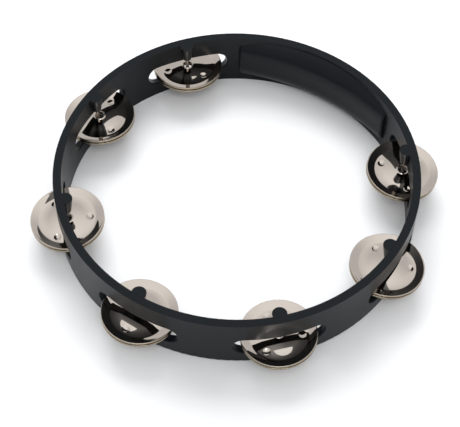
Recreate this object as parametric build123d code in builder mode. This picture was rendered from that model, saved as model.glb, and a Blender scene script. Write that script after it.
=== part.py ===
"""Tambourine: one moulded ring with a grip and seven stations of paired loose jingles on pins.

Millimetres, +Z up.  The origin is on the ring's axis, in the plane the ring stands on.
The grip is centred on +Y; the stations are numbered counter-clockwise from it.
"""
import math
import os

from build123d import *

os.makedirs("parts", exist_ok=True)

# ---- driving sizes -------------------------------------------------------------------------
ring_diameter = 254.0        # outside of the frame
ring_height = 44.5           # full depth of the frame
wall = 5.7                   # thickness of the plain wall
top_shoulder = 1.6           # rounding of the outer top edge
bottom_shoulder = 1.2        # rounding of the outer bottom edge

slot_length = 62.0
slot_height = 16.0
slot_mid = 20.2              # height of the slot's middle line above the bottom, at the pins
slot_fall = 12.0             # angle the slot drops outwards through the wall
slot_edge = 0.7              # rounding of the slot's edges on both faces

pin_inset = 1.5              # pin axis this far inside the inner face
boss_radius = 5.0            # half-round columns that carry the pin, above and below the slot
boss_nose_radius = 3.0       # the upper column narrows to this at its lower end
boss_stop = 31.0             # height of that end above the bottom
spigot_radius = 3.6          # lower column where it stands up inside the slot
spigot_rise = 6.2            # height of that spigot above the slot floor
boss_edge = 0.5              # rounding of the bosses' free ends
pin_radius = 1.15
pin_clearance = 0.05         # running fit of the pin in its bores
bore_depth = 8.0
pin_end_gap = 0.5            # space left above and below the pin

grip_depth = 9.0             # how far the grip swells inwards at its middle
grip_half_angle = 31.0       # where the swell stops, each side
grip_end_depth = 3.2         # height of the step it stops with
grip_end_edge = 2.4          # rounding of that step
grip_rounding = 17.0         # rounding of the swell's inner top and bottom edges

jingle_diameter = 51.2
sheet = 0.9                  # thickness of the pressed metal
rim_edge = 1.6               # height of the turned rim
band_width = 5.9             # outer band that rises to the rim
band_slope = 20.0
dome_radius = 18.0           # foot of the low dome round the hole
dome_bend = 13.0             # radius at which the dome is steepest
dome_slope = 9.5
trough_radius = 5.0          # rounding between the foot of the dome and the band
hole_radius = 3.2
lip_width = 0.8              # raised lip round the hole
lip_height = 0.5
dimple_count = 3
dimple_circle = 15.6         # radius the dimples sit on
dimple_radius = 2.6
dimple_depth = 0.7
seat_gap = 0.6               # lower jingle above its spigot at rest
pair_gap = 1.0               # between the two rims at rest

# angle round the ring, lean of the pair, direction it rises towards, turn on the pin, and how
# far the loose pair rests off its pin: towards the middle of the ring, then counter-clockwise
stations = (
    (140.0, 3.2, 301.6, 113.0, -0.8, -0.4),
    (180.0, 2.7, -14.0, 96.0, 0.7, -1.6),
    (225.0, 2.8, 90.0, 40.0, -0.4, 0.3),
    (270.0, 3.3, 265.6, 30.0, -1.1, -0.2),
    (315.0, 2.3, 355.6, 31.0, -1.6, -0.1),
    (0.0, 3.4, 228.0, 28.0, -0.6, -1.4),
    (40.0, 4.2, 199.0, 70.0, 0.9, -0.4),
)

# ---- sizes that follow ---------------------------------------------------------------------
outer_radius = ring_diameter / 2
inner_radius = outer_radius - wall
pin_circle = inner_radius - pin_inset
slot_floor = slot_mid - slot_height / 2
spigot_top = slot_floor + spigot_rise
bore_radius = pin_radius + pin_clearance
pin_bottom = spigot_top - bore_depth + pin_end_gap
pin_length = boss_stop - spigot_top + 2 * (bore_depth - pin_end_gap)
boss_length = ring_height - boss_stop
boss_taper = math.degrees(math.atan2(boss_radius - boss_nose_radius, boss_length))
slot_start = slot_mid + pin_circle * math.tan(math.radians(slot_fall))

grip_end = Vector(0, inner_radius - grip_end_depth).rotate(Axis.Z, -grip_half_angle)
grip_face = inner_radius - grip_depth
sagitta = grip_face - grip_end.Y
grip_radius = (grip_end.X ** 2 + sagitta ** 2) / (2 * sagitta)
grip_axis = Axis((0, grip_face - grip_radius, 0), (0, 0, 1))
grip_span = 60.0

jingle_radius = jingle_diameter / 2
band_start = jingle_radius - band_width
rim_top = sheet + band_width * math.tan(math.radians(band_slope))
arc_rise = math.tan(math.radians(dome_slope / 2))
dome_top = dome_radius * arc_rise
dome_shoulder = (dome_radius - dome_bend) * arc_rise
hole_floor = dome_top - hole_radius ** 2 / dome_bend * arc_rise
pitch = rim_edge + pair_gap
dimple_sphere = (dimple_radius ** 2 + dimple_depth ** 2) / (2 * dimple_depth)
dome_at_dimple = (dome_radius - dimple_circle) ** 2 / (dome_radius - dome_bend) * arc_rise
dimple_floor = sheet + dome_at_dimple - dimple_depth

# ---- grip: the wall swells inwards on an arc of larger radius, with a rounded step each end --
swell_along = Vector(0, 1, 0).rotate(Axis.Z, -grip_span / 2)
swell_across = Vector(1, 0, 0).rotate(Axis.Z, -grip_span / 2)
with BuildPart() as grip:
    with BuildSketch(Plane(grip_axis.position, x_dir=swell_along, z_dir=swell_across)) as swell:
        with Locations((grip_radius + wall + grip_depth, ring_height / 2)):
            Rectangle(2 * (wall + grip_depth), ring_height)
        fillet(swell.vertices().group_by(Axis.X)[0], radius=grip_rounding)
    revolve(axis=grip_axis, revolution_arc=grip_span)
    with BuildSketch(Plane.XY):
        Circle(outer_radius - wall / 2)
        reach = Vector(0, ring_diameter)
        ends = [reach.rotate(Axis.Z, angle) for angle in (-grip_half_angle, grip_half_angle)]
        Polygon((0, 0), *ends, align=None, mode=Mode.INTERSECT)
    extrude(amount=ring_height, mode=Mode.INTERSECT)
    for side in (-1, 1):
        end_face = grip.faces().filter_by(GeomType.PLANE).sort_by(Axis.X)[0 if side < 0 else -1]
        hidden_edge = end_face.edges().sort_by_distance((0, 0, ring_height / 2))[-1]
        fillet([edge for edge in end_face.edges() if edge != hidden_edge], radius=grip_end_edge)


def on_wall_face(edge):
    """True for a curved or straight edge lying in the wall's inner or outer face."""
    middle = edge @ 0.5
    reach = math.hypot(middle.X, middle.Y)
    return min(abs(reach - outer_radius), abs(reach - inner_radius)) < 0.01


# ---- frame: ring, grip, slots, bosses and bores --------------------------------------------
pin_places = [Vector(pin_circle, 0, 0).rotate(Axis.Z, station[0]) for station in stations]
with BuildPart() as frame:
    with BuildSketch(Plane.XZ) as section:
        with Locations((outer_radius - wall / 2, ring_height / 2)):
            Rectangle(wall, ring_height)
        top_corner = section.vertices().sort_by_distance((outer_radius, 0, ring_height))[0]
        fillet(top_corner, radius=top_shoulder)
        bottom_corner = section.vertices().sort_by_distance((outer_radius, 0, 0))[0]
        fillet(bottom_corner, radius=bottom_shoulder)
    revolve(axis=Axis.Z)
    add(grip.part)
    for angle, lean, rise_towards, turn, set_in, set_round in stations:
        outward = Vector(1, 0, 0).rotate(Axis.Z, angle)
        sideways = Vector(0, 1, 0).rotate(Axis.Z, angle)
        falling = outward.rotate(Axis((0, 0, 0), sideways), slot_fall)
        with BuildSketch(Plane((0, 0, slot_start), x_dir=sideways, z_dir=falling)):
            SlotOverall(slot_length, slot_height)
        extrude(amount=outer_radius + ring_height, mode=Mode.SUBTRACT)
        fillet(frame.edges(Select.LAST).filter_by(on_wall_face), radius=slot_edge)
    with BuildSketch(Plane.XY.offset(ring_height)):
        with Locations(*pin_places):
            Circle(boss_radius)
    extrude(amount=-boss_length, taper=boss_taper)
    with BuildSketch(Plane.XY):
        with Locations(*pin_places):
            Circle(boss_radius)
    extrude(amount=slot_floor)
    with BuildSketch(Plane.XY.offset(slot_floor)):
        with Locations(*pin_places):
            Circle(spigot_radius)
    extrude(amount=spigot_rise)
    spigot_rims = frame.faces().filter_by_position(Axis.Z, spigot_top - 0.01, spigot_top + 0.01).edges()
    fillet(spigot_rims, radius=boss_edge)
    with BuildSketch(Plane.XY.offset(boss_stop)):
        with Locations(*pin_places):
            Circle(bore_radius)
    extrude(amount=bore_depth, mode=Mode.SUBTRACT)
    with BuildSketch(Plane.XY.offset(spigot_top)):
        with Locations(*pin_places):
            Circle(bore_radius)
    extrude(amount=-bore_depth, mode=Mode.SUBTRACT)
frame.part.label = "frame"
export_step(frame.part, "parts/frame.step")

# ---- one jingle, with the underside of its dome's foot at height 0 --------------------------
with BuildPart() as jingle:
    with BuildSketch(Plane.XZ):
        with BuildLine() as underside:
            crown = TangentArc((0, dome_top), (dome_bend, dome_shoulder), tangent=(1, 0))
            flank = TangentArc(crown @ 1, (dome_radius, 0), tangent=crown % 1)
            foot = Line(flank @ 1, (band_start, 0))
            Line(foot @ 1, (jingle_radius, rim_top - sheet))
            fillet(underside.vertices().sort_by_distance((band_start, 0))[0], radius=trough_radius)
            offset(amount=sheet, side=Side.LEFT)
        make_face()
        with Locations((0, dome_top)):
            Rectangle(2 * hole_radius, 4 * sheet, mode=Mode.SUBTRACT)
        with Locations((jingle_radius - sheet / 2, rim_top - rim_edge / 2)):
            Rectangle(sheet, rim_edge)
        with Locations((hole_radius + lip_width / 2, hole_floor + (sheet + lip_height) / 2)):
            Rectangle(lip_width, sheet + lip_height)
    revolve(axis=Axis.Z)
    with Locations((0, 0, dimple_floor + dimple_sphere)):
        with PolarLocations(dimple_circle, dimple_count):
            Sphere(dimple_sphere, mode=Mode.SUBTRACT)

# ---- pins and jingle pairs, one of each per station -----------------------------------------
for number, (angle, lean, rise_towards, turn, set_in, set_round) in enumerate(stations, start=1):
    place = pin_places[number - 1]
    with BuildPart() as pin:
        with BuildSketch(Plane((place.X, place.Y, pin_bottom))):
            Circle(pin_radius)
        extrude(amount=pin_length)
        chamfer(pin.edges().filter_by(GeomType.CIRCLE), length=0.25)
    pin.part.label = f"pin_{number}"
    export_step(pin.part, f"parts/pin_{number}.step")

    hinge_line = Vector(0, 1, 0).rotate(Axis.Z, rise_towards)
    up = Vector(0, 0, 1).rotate(Axis((0, 0, 0), hinge_line), -lean)
    rest = place + Vector(-set_in, set_round, spigot_top + seat_gap - hole_floor).rotate(Axis.Z, angle)
    seat = Plane(rest, x_dir=hinge_line, z_dir=up)
    for name, height in (("lower_jingle", 0), ("upper_jingle", pitch)):
        with BuildPart() as half:
            with Locations(seat.offset(height).location * Rot(0, 0, turn - rise_towards - 90)):
                add(jingle.part)
        half.part.label = f"{name}_{number}"
        export_step(half.part, f"parts/{name}_{number}.step")
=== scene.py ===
"""Tambourine: black moulded ring with bright nickel jingles, on a pale studio floor."""
import math

import bpy
from mathutils import Matrix, Vector


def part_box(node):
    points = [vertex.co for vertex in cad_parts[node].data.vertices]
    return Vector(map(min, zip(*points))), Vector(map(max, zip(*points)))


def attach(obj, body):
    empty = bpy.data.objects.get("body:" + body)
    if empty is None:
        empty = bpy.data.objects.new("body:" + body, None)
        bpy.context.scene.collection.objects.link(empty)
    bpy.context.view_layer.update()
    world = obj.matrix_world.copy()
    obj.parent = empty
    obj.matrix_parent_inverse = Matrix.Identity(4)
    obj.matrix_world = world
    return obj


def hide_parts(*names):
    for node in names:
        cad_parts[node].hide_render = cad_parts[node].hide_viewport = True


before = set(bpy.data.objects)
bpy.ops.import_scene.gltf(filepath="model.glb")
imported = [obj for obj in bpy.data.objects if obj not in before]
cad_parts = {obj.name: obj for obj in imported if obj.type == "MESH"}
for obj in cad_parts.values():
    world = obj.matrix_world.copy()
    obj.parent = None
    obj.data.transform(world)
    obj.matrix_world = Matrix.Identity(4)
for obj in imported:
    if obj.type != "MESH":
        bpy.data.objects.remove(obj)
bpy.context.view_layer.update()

MM = 0.001

# lean of each resting pair, the direction it rises towards, and its turn, in degrees
LEANS = {
    1: (3.2, 301.6, 113.0),
    2: (2.7, -14.0, 96.0),
    3: (2.8, 90.0, 40.0),
    4: (3.3, 265.6, 30.0),
    5: (2.3, 355.6, 31.0),
    6: (3.4, 228.0, 28.0),
    7: (4.2, 199.0, 70.0),
}

# jingle section: radii from its axis and heights above the underside of the dome's foot,
# in millimetres and degrees
JINGLE_RADIUS = 25.6
SHEET = 0.9
HOLE_RADIUS = 3.2
TROUGH_RADIUS = 19.7
DOME_SLOPE = 9.5
DOME_BEND = 13.0
DOME_FOOT = 18.0
BAND_SLOPE = 20.0
TROUGH_BEND = 0.09
RIM_EDGE = 1.6
LIP_HEIGHT = 0.5
DIMPLE_CIRCLE = 15.6
DIMPLE_RADIUS = 2.6
DIMPLE_DEPTH = 0.7
DIMPLE_COUNT = 3
SEGMENTS = 240         # vertices round each ring
COARSE_STEP = 0.6      # spacing of the rings
FINE_STEP = 0.3        # and where the dimples and the trough need more
FINE_FROM = 12.4
FINE_TO = 22.2


def deselect_all():
    for thing in bpy.context.selected_objects:
        thing.select_set(False)


def add_group_socket(group, name, kind, way, default=None):
    socket = group.interface.new_socket(name=name, in_out=way, socket_type=kind)
    if default is not None:
        socket.default_value = default
    return socket


# ---- shared shader groups --------------------------------------------------------------------
def make_fine_grain():
    """Moulding grain and faint flow clouds: a height and a slow mask."""
    group = bpy.data.node_groups.new("fine_grain", "ShaderNodeTree")
    add_group_socket(group, "Scale", "NodeSocketFloat", "INPUT", 900.0)
    add_group_socket(group, "Cloud Scale", "NodeSocketFloat", "INPUT", 18.0)
    add_group_socket(group, "Height", "NodeSocketFloat", "OUTPUT")
    add_group_socket(group, "Clouds", "NodeSocketFloat", "OUTPUT")
    nodes, links = group.nodes, group.links
    given = nodes.new("NodeGroupInput")
    out = nodes.new("NodeGroupOutput")
    coords = nodes.new("ShaderNodeTexCoord")
    grain = nodes.new("ShaderNodeTexNoise")
    grain.inputs["Detail"].default_value = 3.0
    links.new(coords.outputs["Object"], grain.inputs["Vector"])
    links.new(given.outputs["Scale"], grain.inputs["Scale"])
    clouds = nodes.new("ShaderNodeTexNoise")
    clouds.inputs["Detail"].default_value = 4.0
    links.new(coords.outputs["Object"], clouds.inputs["Vector"])
    links.new(given.outputs["Cloud Scale"], clouds.inputs["Scale"])
    links.new(grain.outputs["Fac"], out.inputs["Height"])
    links.new(clouds.outputs["Fac"], out.inputs["Clouds"])
    return group


def make_handling_marks():
    """Thin wandering scratches and handling marks, as a mask."""
    group = bpy.data.node_groups.new("handling_marks", "ShaderNodeTree")
    add_group_socket(group, "Scale", "NodeSocketFloat", "INPUT", 120.0)
    add_group_socket(group, "Amount", "NodeSocketFloat", "INPUT", 0.5)
    add_group_socket(group, "Mask", "NodeSocketFloat", "OUTPUT")
    nodes, links = group.nodes, group.links
    given = nodes.new("NodeGroupInput")
    out = nodes.new("NodeGroupOutput")
    coords = nodes.new("ShaderNodeTexCoord")
    noise = nodes.new("ShaderNodeTexNoise")
    noise.inputs["Detail"].default_value = 6.0
    noise.inputs["Distortion"].default_value = 1.5
    links.new(coords.outputs["Object"], noise.inputs["Vector"])
    links.new(given.outputs["Scale"], noise.inputs["Scale"])
    ridge = nodes.new("ShaderNodeMapRange")
    ridge.inputs["From Min"].default_value = 0.55
    ridge.inputs["From Max"].default_value = 0.75
    links.new(noise.outputs["Fac"], ridge.inputs["Value"])
    scaled = nodes.new("ShaderNodeMath")
    scaled.operation = "MULTIPLY"
    links.new(ridge.outputs["Result"], scaled.inputs[0])
    links.new(given.outputs["Amount"], scaled.inputs[1])
    links.new(scaled.outputs["Value"], out.inputs["Mask"])
    return group


fine_grain = make_fine_grain()
handling_marks = make_handling_marks()


def new_material(name):
    material = bpy.data.materials.new(name)
    material.use_nodes = True
    nodes, links = material.node_tree.nodes, material.node_tree.links
    shader = nodes["Principled BSDF"]
    return material, nodes, links, shader


def place_group(nodes, group, **values):
    node = nodes.new("ShaderNodeGroup")
    node.node_tree = group
    for key, value in values.items():
        node.inputs[key.replace("_", " ")].default_value = value
    return node


def remap(nodes, links, source, low, high, from_low=0.0, from_high=1.0):
    node = nodes.new("ShaderNodeMapRange")
    node.inputs["From Min"].default_value = from_low
    node.inputs["From Max"].default_value = from_high
    node.inputs["To Min"].default_value = low
    node.inputs["To Max"].default_value = high
    links.new(source, node.inputs["Value"])
    return node.outputs["Result"]


def mix_colours(nodes, links, factor, first, second):
    node = nodes.new("ShaderNodeMix")
    node.data_type = "RGBA"
    for socket, colour in (("A", first), ("B", second)):
        if isinstance(colour, tuple):
            node.inputs[socket].default_value = colour
        else:
            links.new(colour, node.inputs[socket])
    links.new(factor, node.inputs["Factor"])
    return node.outputs["Result"]


def add_share(nodes, links, mask, share, base):
    """The base value plus a share of the mask."""
    node = nodes.new("ShaderNodeMath")
    node.operation = "MULTIPLY_ADD"
    node.inputs[1].default_value = share
    links.new(mask, node.inputs[0])
    links.new(base, node.inputs[2])
    return node.outputs["Value"]


def roughen_surface(nodes, links, height, strength, distance, shader):
    """Bump from a height; the distance is in metres."""
    bump = nodes.new("ShaderNodeBump")
    bump.inputs["Strength"].default_value = strength
    bump.inputs["Distance"].default_value = distance
    links.new(height, bump.inputs["Height"])
    links.new(bump.outputs["Normal"], shader.inputs["Normal"])


# ---- materials -------------------------------------------------------------------------------
def make_black_plastic():
    material, nodes, links, shader = new_material("black_moulded_plastic")
    grain = place_group(nodes, fine_grain, Scale=1400.0, Cloud_Scale=22.0)
    marks = place_group(nodes, handling_marks, Scale=90.0, Amount=0.35)
    deep, pale = (0.0026, 0.0042, 0.0058, 1.0), (0.0040, 0.0060, 0.0080, 1.0)
    colour = mix_colours(nodes, links, grain.outputs["Clouds"], deep, pale)
    links.new(colour, shader.inputs["Base Color"])
    cloudy = remap(nodes, links, grain.outputs["Clouds"], 0.29, 0.37, 0.3, 0.7)
    roughness = add_share(nodes, links, marks.outputs["Mask"], 0.12, cloudy)
    links.new(roughness, shader.inputs["Roughness"])
    roughen_surface(nodes, links, grain.outputs["Height"], 0.12, 0.00006, shader)
    shader.inputs["Specular IOR Level"].default_value = 0.17
    return material


def make_nickel():
    material, nodes, links, shader = new_material("bright_nickel")
    grain = place_group(nodes, fine_grain, Scale=260.0, Cloud_Scale=60.0)
    marks = place_group(nodes, handling_marks, Scale=240.0, Amount=0.4)
    warm, pale, bare_brass = (0.545, 0.490, 0.440, 1.0), (0.595, 0.540, 0.490, 1.0), (0.33, 0.27, 0.19, 1.0)
    colour = mix_colours(nodes, links, grain.outputs["Clouds"], warm, pale)
    edge = nodes.new("ShaderNodeAttribute")
    edge.attribute_name = "bare_edge"
    colour = mix_colours(nodes, links, edge.outputs["Fac"], colour, bare_brass)
    links.new(colour, shader.inputs["Base Color"])
    rough = remap(nodes, links, marks.outputs["Mask"], 0.035, 0.16)
    roughness = add_share(nodes, links, edge.outputs["Fac"], 0.2, rough)
    links.new(roughness, shader.inputs["Roughness"])
    shader.inputs["Metallic"].default_value = 1.0
    roughen_surface(nodes, links, grain.outputs["Height"], 0.05, 0.00003, shader)
    return material


def make_pin_steel():
    material, nodes, links, shader = new_material("drawn_steel")
    marks = place_group(nodes, handling_marks, Scale=700.0, Amount=0.8)
    drawn, rubbed = (0.34, 0.29, 0.25, 1.0), (0.20, 0.15, 0.12, 1.0)
    colour = mix_colours(nodes, links, marks.outputs["Mask"], drawn, rubbed)
    links.new(colour, shader.inputs["Base Color"])
    links.new(remap(nodes, links, marks.outputs["Mask"], 0.28, 0.5), shader.inputs["Roughness"])
    shader.inputs["Metallic"].default_value = 1.0
    return material


def make_floor_white():
    material, nodes, links, shader = new_material("studio_floor")
    clouds = place_group(nodes, fine_grain, Scale=40.0, Cloud_Scale=2.0)
    cool, pale = (0.765, 0.775, 0.790, 1.0), (0.780, 0.790, 0.805, 1.0)
    colour = mix_colours(nodes, links, clouds.outputs["Clouds"], cool, pale)
    links.new(colour, shader.inputs["Base Color"])
    shader.inputs["Roughness"].default_value = 0.9
    shader.inputs["Specular IOR Level"].default_value = 0.1
    return material


black_plastic = make_black_plastic()
bright_nickel = make_nickel()
drawn_steel = make_pin_steel()


def dress(thing, material):
    thing.data.materials.clear()
    thing.data.materials.append(material)


dress(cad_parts["frame"], black_plastic)
for number in LEANS:
    dress(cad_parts[f"pin_{number}"], drawn_steel)


# ---- the jingle: a hoop of edges drawn out along its section, ring by ring ------------------
def dish_height(radius):
    """Height of the upper face at a radius: low dome, flat foot, rising band."""
    tangent = math.tan(math.radians(DOME_SLOPE))
    if radius < DOME_BEND:
        dome = (DOME_FOOT - radius ** 2 / DOME_BEND) * tangent / 2
    else:
        dome = max(DOME_FOOT - radius, 0) ** 2 / (DOME_FOOT - DOME_BEND) * tangent / 2
    band = math.tan(math.radians(BAND_SLOPE)) * (radius - TROUGH_RADIUS)
    return SHEET + (dome + band) / 2 + math.hypot((band - dome) / 2, TROUGH_BEND)


RIM_TOP = dish_height(JINGLE_RADIUS)


def ring_step(radius):
    return FINE_STEP if FINE_FROM < radius < FINE_TO else COARSE_STEP


def jingle_section():
    """Radius and height of each ring of the shell: lip, upper face, rim, underside, hole."""
    brow = dish_height(HOLE_RADIUS + 0.8)
    lip_top = brow + LIP_HEIGHT
    lip = [(3.2, lip_top - 0.22), (3.24, lip_top - 0.09), (3.34, lip_top - 0.02), (3.5, lip_top)]
    lip += [(3.68, lip_top - 0.04), (3.84, lip_top - 0.16), (3.95, brow + 0.14), (4.15, brow + 0.02)]
    top = []
    radius = 4.5
    while radius < 25.05:
        top.append((radius, dish_height(radius)))
        radius += ring_step(radius)
    rim = [(25.2, RIM_TOP - 0.1), (25.42, RIM_TOP - 0.08), (25.55, RIM_TOP - 0.18), (25.6, RIM_TOP - 0.36)]
    rim_foot = RIM_TOP - RIM_EDGE
    rim += [(25.6, rim_foot + 0.3), (25.55, rim_foot + 0.1), (25.4, rim_foot)]
    rim += [(25.1, rim_foot + 0.02), (24.85, rim_foot + 0.12), (24.6, dish_height(24.6) - SHEET - 0.06)]
    under = []
    radius = 24.2
    while radius > 3.7:
        under.append((radius, dish_height(radius) - SHEET))
        radius -= ring_step(radius)
    floor = brow - SHEET
    hole = [(3.45, floor + 0.02), (3.27, floor + 0.12), (3.2, floor + 0.4), (3.2, lip_top - 0.55)]
    return lip + top + rim + under + hole


def press_dimples(jingle):
    """Three round dents, each pulled down from the vertex nearest its centre."""
    for step in range(DIMPLE_COUNT):
        turn = math.radians(360 / DIMPLE_COUNT * step)
        centre = Vector((math.cos(turn), math.sin(turn), 0)) * DIMPLE_CIRCLE * MM
        centre.z = dish_height(DIMPLE_CIRCLE) * MM
        nearest = min(jingle.data.vertices, key=lambda v: (v.co - centre).length)
        for vertex in jingle.data.vertices:
            vertex.select = vertex.index == nearest.index
        bpy.ops.object.mode_set(mode="EDIT")
        bpy.ops.transform.translate(
            value=(0, 0, -DIMPLE_DEPTH * MM),
            use_proportional_edit=True,
            proportional_edit_falloff="INVERSE_SQUARE",
            proportional_size=DIMPLE_RADIUS * MM,
        )
        bpy.ops.object.mode_set(mode="OBJECT")


def mark_bare_edge(jingle):
    """Attribute of 1 on the turned rim's edge, where the plating is thin, and 0 elsewhere."""
    edge = jingle.data.attributes.new("bare_edge", "FLOAT", "POINT")
    for vertex in jingle.data.vertices:
        reach = math.hypot(vertex.co.x, vertex.co.y)
        bare = reach > 25.5 * MM or (reach > 24.7 * MM and vertex.co.z < (RIM_TOP - SHEET) * MM)
        edge.data[vertex.index].value = float(bare)


def model_jingle():
    section = jingle_section()
    deselect_all()
    bpy.ops.mesh.primitive_circle_add(
        vertices=SEGMENTS, radius=section[0][0] * MM, location=(0, 0, section[0][1] * MM)
    )
    jingle = bpy.context.object
    bpy.ops.object.transform_apply(location=True, rotation=False, scale=False)
    bpy.ops.object.mode_set(mode="EDIT")
    bpy.ops.mesh.select_mode(type="EDGE")
    bpy.ops.mesh.select_all(action="SELECT")
    for (radius, height), (next_radius, next_height) in zip(section, section[1:]):
        bpy.ops.mesh.extrude_edges_move()
        grow = next_radius / radius
        bpy.ops.transform.resize(value=(grow, grow, 1.0), center_override=(0, 0, 0))
        bpy.ops.transform.translate(value=(0, 0, (next_height - height) * MM))
    bpy.ops.mesh.select_all(action="DESELECT")
    bpy.ops.mesh.select_non_manifold()
    bpy.ops.mesh.bridge_edge_loops()
    bpy.ops.mesh.select_all(action="SELECT")
    bpy.ops.mesh.normals_make_consistent(inside=False)
    bpy.ops.mesh.select_mode(type="VERT")
    bpy.ops.mesh.select_all(action="DESELECT")
    bpy.ops.object.mode_set(mode="OBJECT")
    press_dimples(jingle)
    bpy.ops.object.shade_smooth()
    mark_bare_edge(jingle)
    return jingle


# ---- the fourteen jingles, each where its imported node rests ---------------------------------
master = model_jingle()
for number, (lean, towards, turn) in LEANS.items():
    tilt = math.radians(lean)
    across = Vector((-math.sin(math.radians(towards)), math.cos(math.radians(towards)), 0))
    leaning = Matrix.Rotation(-tilt, 4, across)
    upright = leaning.to_3x3() @ Vector((0, 0, 1))
    for half in ("lower_jingle", "upper_jingle"):
        node = f"{half}_{number}"
        low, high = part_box(node)
        seat = (Vector(low) + Vector(high)) / 2 - upright * (RIM_TOP - RIM_EDGE / 2) * MM
        seat.z = high[2] - (RIM_TOP * math.cos(tilt) + JINGLE_RADIUS * math.sin(tilt)) * MM
        place = Matrix.Translation(seat) @ leaning @ Matrix.Rotation(math.radians(turn), 4, "Z")
        piece = bpy.data.objects.new(f"{node}_bright", master.data.copy())
        bpy.context.scene.collection.objects.link(piece)
        piece.data.transform(place)
        dress(piece, bright_nickel)
        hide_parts(node)
        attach(piece, node)
bpy.data.objects.remove(master)

# ---- floor, lights and camera -----------------------------------------------------------------
deselect_all()
bpy.ops.mesh.primitive_plane_add(size=6.0, location=(0, 0, 0))
floor = bpy.context.object
floor.name = "studio_floor"
dress(floor, make_floor_white())

FACING = 31.4   # the camera stands this far round from -Y
ELEVATION = 54.64
DISTANCE = 0.905
ROLL = 0.79
SIDE_STEP = (-0.00442, -0.00704)

turn = Matrix.Rotation(math.radians(FACING), 3, "Z")
rise = math.radians(ELEVATION)
roll = math.radians(ROLL)
back = Vector((0, -math.cos(rise), math.sin(rise)))
right = Vector((1, 0, 0))
up = back.cross(right)
camera_right = math.cos(roll) * right + math.sin(roll) * up
camera_up = -math.sin(roll) * right + math.cos(roll) * up
stand = back * DISTANCE + Vector((*SIDE_STEP, 0))
camera_data = bpy.data.cameras.new("camera")
camera = bpy.data.objects.new("camera", camera_data)
bpy.context.scene.collection.objects.link(camera)
axes = Matrix((turn @ camera_right, turn @ camera_up, turn @ back)).transposed()
camera.matrix_world = Matrix.Translation(turn @ stand) @ axes.to_4x4()
camera_data.sensor_width = 36.0
camera_data.lens = 98.86
camera_data.clip_end = 50.0
bpy.context.scene.camera = camera


def add_soft_light(name, azimuth, elevation, distance, size, power, colour=(1, 1, 1)):
    """Area light at an azimuth counted from behind the object, seen from the camera."""
    data = bpy.data.lights.new(name, "AREA")
    data.shape = "RECTANGLE"
    data.size, data.size_y = size
    data.energy = power
    data.color = colour
    light = bpy.data.objects.new(name, data)
    bpy.context.scene.collection.objects.link(light)
    around = math.radians(azimuth)
    climb = math.radians(elevation)
    level = math.cos(climb)
    aim = Vector((math.sin(around) * level, math.cos(around) * level, math.sin(climb)))
    spot = turn @ aim * distance
    light.location = spot
    light.rotation_mode = "QUATERNION"
    light.rotation_quaternion = spot.to_track_quat("Z", "Y")
    return light


def make_studio_sky():
    """White tent round the object: soft grey low down, brighter towards the top."""
    world = bpy.data.worlds.new("studio")
    bpy.context.scene.world = world
    world.use_nodes = True
    nodes, links = world.node_tree.nodes, world.node_tree.links
    coords = nodes.new("ShaderNodeTexCoord")
    parts = nodes.new("ShaderNodeSeparateXYZ")
    links.new(coords.outputs["Generated"], parts.inputs["Vector"])
    climb = nodes.new("ShaderNodeMapRange")
    climb.interpolation_type = "SMOOTHSTEP"
    climb.inputs["From Min"].default_value = math.sin(math.radians(40))
    climb.inputs["From Max"].default_value = math.sin(math.radians(80))
    climb.inputs["To Min"].default_value = 0.76
    climb.inputs["To Max"].default_value = 1.18
    links.new(parts.outputs["Z"], climb.inputs["Value"])
    background = nodes["Background"]
    background.inputs["Color"].default_value = (1.0, 1.0, 1.0, 1.0)
    links.new(climb.outputs["Result"], background.inputs["Strength"])


make_studio_sky()
add_soft_light("front_softbox", 178, 60, 1.7, (0.7, 0.4), 5.0)
back_softbox = add_soft_light("back_softbox", -6, 50, 1.8, (1.4, 1.0), 27.0)
back_softbox.visible_glossy = False
bpy.context.scene.view_settings.view_transform = "Standard"
bpy.context.scene.view_settings.look = "None"
